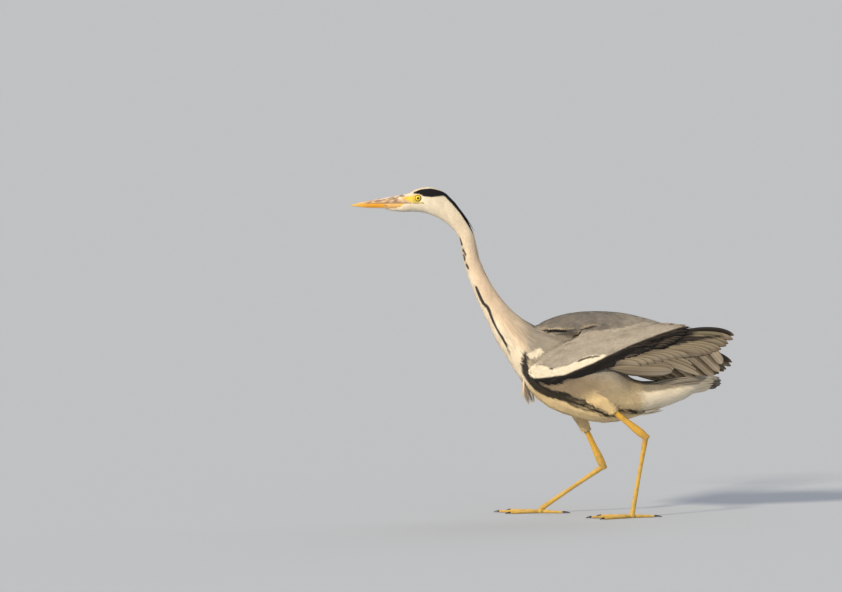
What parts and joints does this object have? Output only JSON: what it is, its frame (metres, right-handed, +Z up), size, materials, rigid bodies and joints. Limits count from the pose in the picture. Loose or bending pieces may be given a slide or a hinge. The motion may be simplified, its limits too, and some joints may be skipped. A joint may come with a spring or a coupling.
{
  "type": "life-size grey heron model",
  "caption": "Life-size standing grey heron that wades low with its neck stretched forward, wings folded and bill level.",
  "frame": {"origin": "on the floor, under the middle of the whole bird's bounding box", "axes": "+Z up; the bird faces -X with its bill; its left side is towards -Y"},
  "size_m": [0.7854, 0.2108, 0.6746],
  "materials": {
    "cream_feathers": "soft, matt",
    "white_feathers": "soft, matt",
    "grey_feathers": "soft, matt",
    "brown_feathers": "smooth vane, low sheen",
    "black_feathers": "smooth vane, low sheen",
    "bill": "satin horn",
    "leg_skin": "scaled, satin",
    "claw": "satin horn",
    "eye": "wet gloss"
  },
  "bodies": {
    "root": {"bill_lower": "bill", "bill_upper": "bill", "breast_plumes": "white_feathers", "claw_left_hind": "claw", "claw_left_inner": "claw", "claw_left_middle": "claw", "claw_left_outer": "claw", "claw_right_hind": "claw", "claw_right_inner": "claw", "claw_right_middle": "claw", "claw_right_outer": "claw", "crest": "black_feathers", "eye_left": "eye", "eye_right": "eye", "foot_left": "leg_skin", "foot_right": "leg_skin", "head": "cream_feathers", "mantle": "grey_feathers", "neck_lower": "cream_feathers", "neck_middle": "cream_feathers", "neck_upper": "cream_feathers", "shank_left": "leg_skin", "shank_right": "leg_skin", "tail": "brown_feathers", "tarsus_left": "leg_skin", "tarsus_right": "leg_skin", "thigh_left": "white_feathers", "thigh_right": "white_feathers", "trunk": "grey_feathers", "wing_left_coverts": "grey_feathers", "wing_left_primaries": "black_feathers", "wing_left_secondaries": "brown_feathers", "wing_right_coverts": "grey_feathers", "wing_right_primaries": "black_feathers", "wing_right_secondaries": "brown_feathers"}
  },
  "joints": []
}
